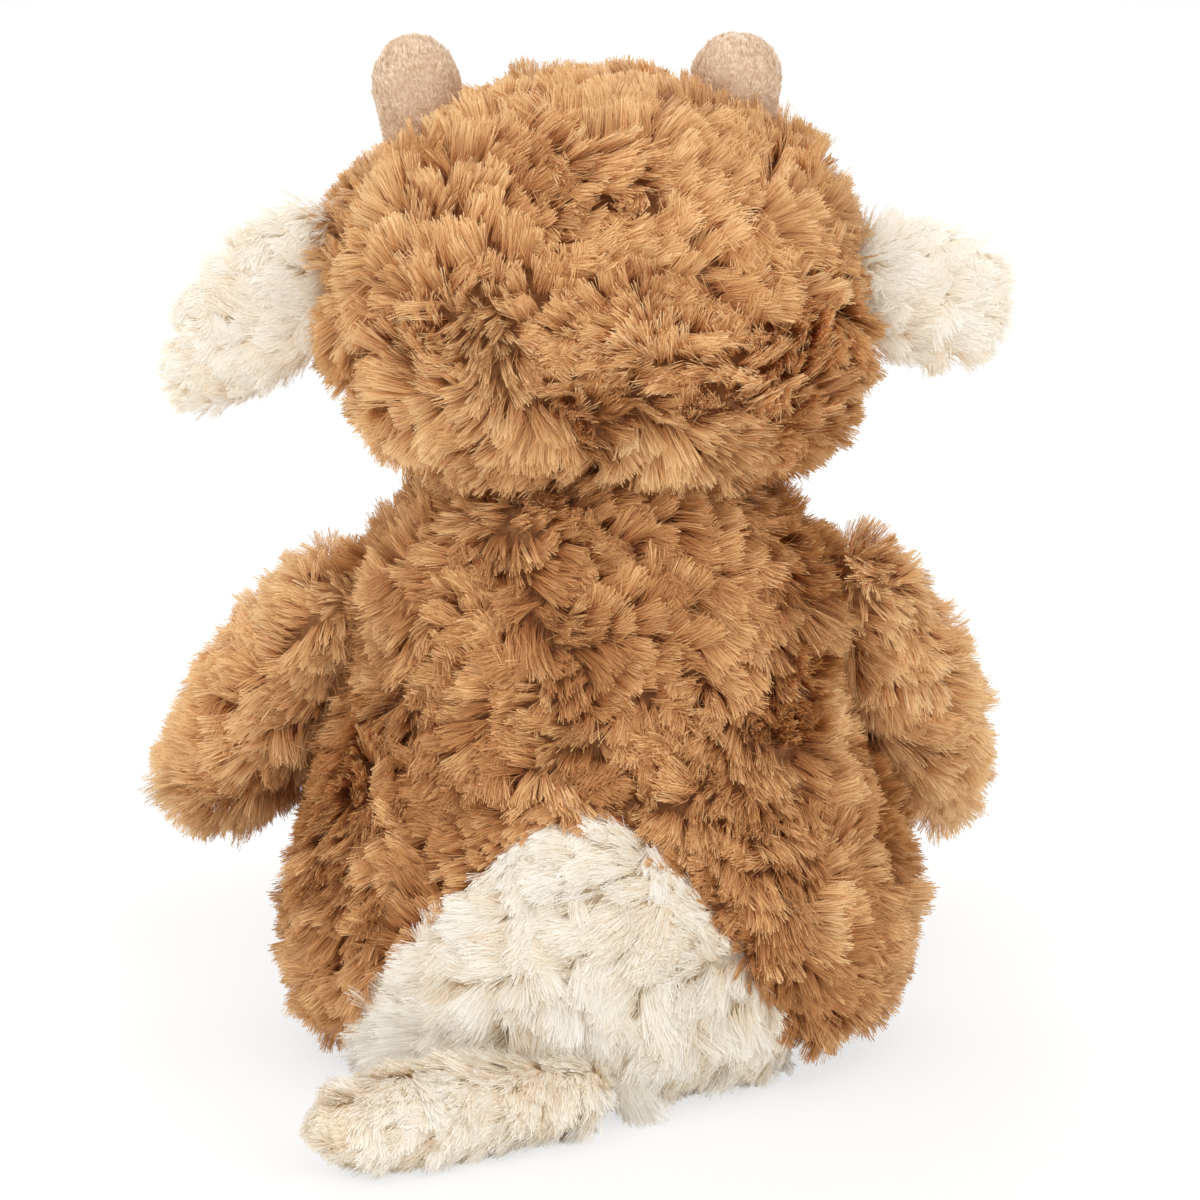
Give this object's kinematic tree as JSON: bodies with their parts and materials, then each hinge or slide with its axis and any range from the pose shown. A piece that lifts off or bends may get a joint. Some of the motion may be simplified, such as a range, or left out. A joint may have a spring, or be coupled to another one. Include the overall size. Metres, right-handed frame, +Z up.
{
  "type": "plush cow",
  "caption": "Seated plush cow with long brown pile, beige horns, cream ears, a cream rump patch and a thick cream tail.",
  "frame": {"origin": "middle of the flat seat, on the surface that the toy sits on", "axes": "+Z up, the face looks along -Y, +X towards the toy's own left"},
  "size_m": [0.2273, 0.238, 0.269],
  "materials": {
    "brown_pile": "long clumped pile",
    "cream_pile": "long clumped pile",
    "beige_short_pile": "short dense pile",
    "fibre_filling": "loose fibre",
    "pellet_bag_cloth": "woven",
    "brown_thread": "twisted thread",
    "dark_thread": "satin stitch",
    "eye_plastic": "polished",
    "washer_plastic": "moulded"
  },
  "bodies": {
    "body": {"body_cover": "brown_pile", "rump_patch": "cream_pile", "body_stuffing": "fibre_filling", "pellet_bag": "pellet_bag_cloth"},
    "neck": {"neck_thread": "brown_thread"},
    "head": {"head_cover": "brown_pile", "head_stuffing": "fibre_filling", "muzzle": "cream_pile", "left_nostril": "dark_thread", "right_nostril": "dark_thread", "left_eye": "eye_plastic", "right_eye": "eye_plastic", "left_eye_washer": "washer_plastic", "right_eye_washer": "washer_plastic", "left_horn": "beige_short_pile", "right_horn": "beige_short_pile"},
    "left_ear": {"left_ear_back": "cream_pile", "left_ear_lining": "beige_short_pile"},
    "right_ear": {"right_ear_back": "cream_pile", "right_ear_lining": "beige_short_pile"},
    "left_arm": {"left_arm_cover": "brown_pile", "left_arm_stuffing": "fibre_filling"},
    "right_arm": {"right_arm_cover": "brown_pile", "right_arm_stuffing": "fibre_filling"},
    "left_leg": {"left_leg_cover": "brown_pile", "left_leg_stuffing": "fibre_filling", "left_sole": "beige_short_pile"},
    "right_leg": {"right_leg_cover": "brown_pile", "right_leg_stuffing": "fibre_filling", "right_sole": "beige_short_pile"},
    "tail": {"tail_cover": "cream_pile", "tail_stuffing": "fibre_filling"}
  },
  "joints": [
    {"name": "head_turn", "type": "hinge", "parent": "body", "child": "neck", "pos_m": [0, -0.004, 0.199], "axis": [0, 0, 1], "range_deg": [-25, 25], "stiffness_Nm_per_rad": 0.3},
    {"name": "head_nod", "type": "hinge", "parent": "neck", "child": "head", "pos_m": [0, -0.004, 0.199], "axis": [1, 0, 0], "range_deg": [-20, 10], "stiffness_Nm_per_rad": 0.3},
    {"name": "left_ear_flap", "type": "hinge", "parent": "head", "child": "left_ear", "pos_m": [0.0725, -0.004, 0.205], "axis": [0, 0, -1], "range_deg": [-45, 60], "stiffness_Nm_per_rad": 0.01},
    {"name": "right_ear_flap", "type": "hinge", "parent": "head", "child": "right_ear", "pos_m": [-0.0725, -0.004, 0.202], "axis": [0, 0, 1], "range_deg": [-45, 60], "stiffness_Nm_per_rad": 0.01},
    {"name": "left_arm_swing", "type": "hinge", "parent": "body", "child": "left_arm", "pos_m": [0.06841, -0.00478, 0.119], "axis": [-1, 0, 0], "range_deg": [-20, 80], "stiffness_Nm_per_rad": 0.06},
    {"name": "right_arm_swing", "type": "hinge", "parent": "body", "child": "right_arm", "pos_m": [-0.06841, -0.00478, 0.119], "axis": [-1, 0, 0], "range_deg": [-20, 80], "stiffness_Nm_per_rad": 0.06},
    {"name": "left_leg_swing", "type": "hinge", "parent": "body", "child": "left_leg", "pos_m": [0.04694, -0.07229, 0.0235], "axis": [-1, 0, 0], "range_deg": [-30, 45], "stiffness_Nm_per_rad": 0.06},
    {"name": "right_leg_swing", "type": "hinge", "parent": "body", "child": "right_leg", "pos_m": [-0.04694, -0.07229, 0.0235], "axis": [-1, 0, 0], "range_deg": [-30, 45], "stiffness_Nm_per_rad": 0.06},
    {"name": "tail_swing", "type": "hinge", "parent": "body", "child": "tail", "pos_m": [0.0026, 0.07442, 0.012], "axis": [0, 0, 1], "range_deg": [-4, 128], "stiffness_Nm_per_rad": 0.02}
  ]
}
